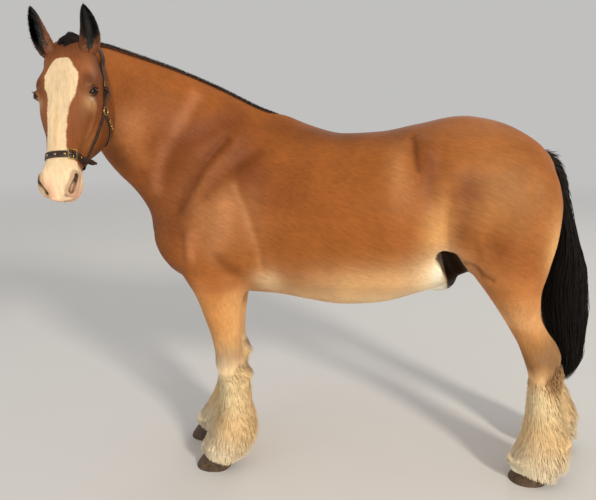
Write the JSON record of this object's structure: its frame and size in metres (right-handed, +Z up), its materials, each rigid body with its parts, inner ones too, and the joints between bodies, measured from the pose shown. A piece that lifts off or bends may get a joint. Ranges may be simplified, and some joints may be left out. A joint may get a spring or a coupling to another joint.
{
  "type": "horse",
  "caption": "Life-size standing heavy draught horse, bay with a white blaze and feathered cream legs, head turned, wearing a leather headcollar; a still museum model.",
  "frame": {"origin": "on the ground, under the middle of the animal's bounding box", "axes": "+X towards the tail, +Y towards the horse's right side, +Z up; the horse faces -X with its head turned to its left"},
  "size_m": [2.404, 1.1282, 2.0852],
  "materials": {
    "coat_bay": "short glossy bay hair",
    "coat_cream": "long soft cream hair",
    "hair_black": "coarse black hair",
    "horn": "dull hoof horn",
    "eye": "wet dark brown eye",
    "leather": "dark brown strap leather",
    "brass": "worn metal fittings"
  },
  "bodies": {
    "root": {"head": "coat_bay", "neck": "coat_bay", "trunk": "coat_bay", "foreleg_left_upper": "coat_bay", "foreleg_right_upper": "coat_bay", "hindleg_left_upper": "coat_bay", "hindleg_right_upper": "coat_bay", "ear_left": "coat_bay", "ear_right": "coat_bay", "foreleg_left_lower": "coat_cream", "foreleg_right_lower": "coat_cream", "hindleg_left_lower": "coat_cream", "hindleg_right_lower": "coat_cream", "tail": "hair_black", "tail_hair": "hair_black", "mane": "hair_black", "forelock": "hair_black", "forehoof_left": "horn", "forehoof_right": "horn", "hindhoof_left": "horn", "hindhoof_right": "horn", "eye_left": "eye", "eye_right": "eye", "noseband": "leather", "noseband_end": "leather", "headpiece": "leather", "throat_strap": "leather", "billet": "leather", "ring_left": "brass", "ring_right": "brass", "cheek_buckle": "brass", "noseband_buckle": "brass", "snap": "brass"}
  },
  "joints": []
}
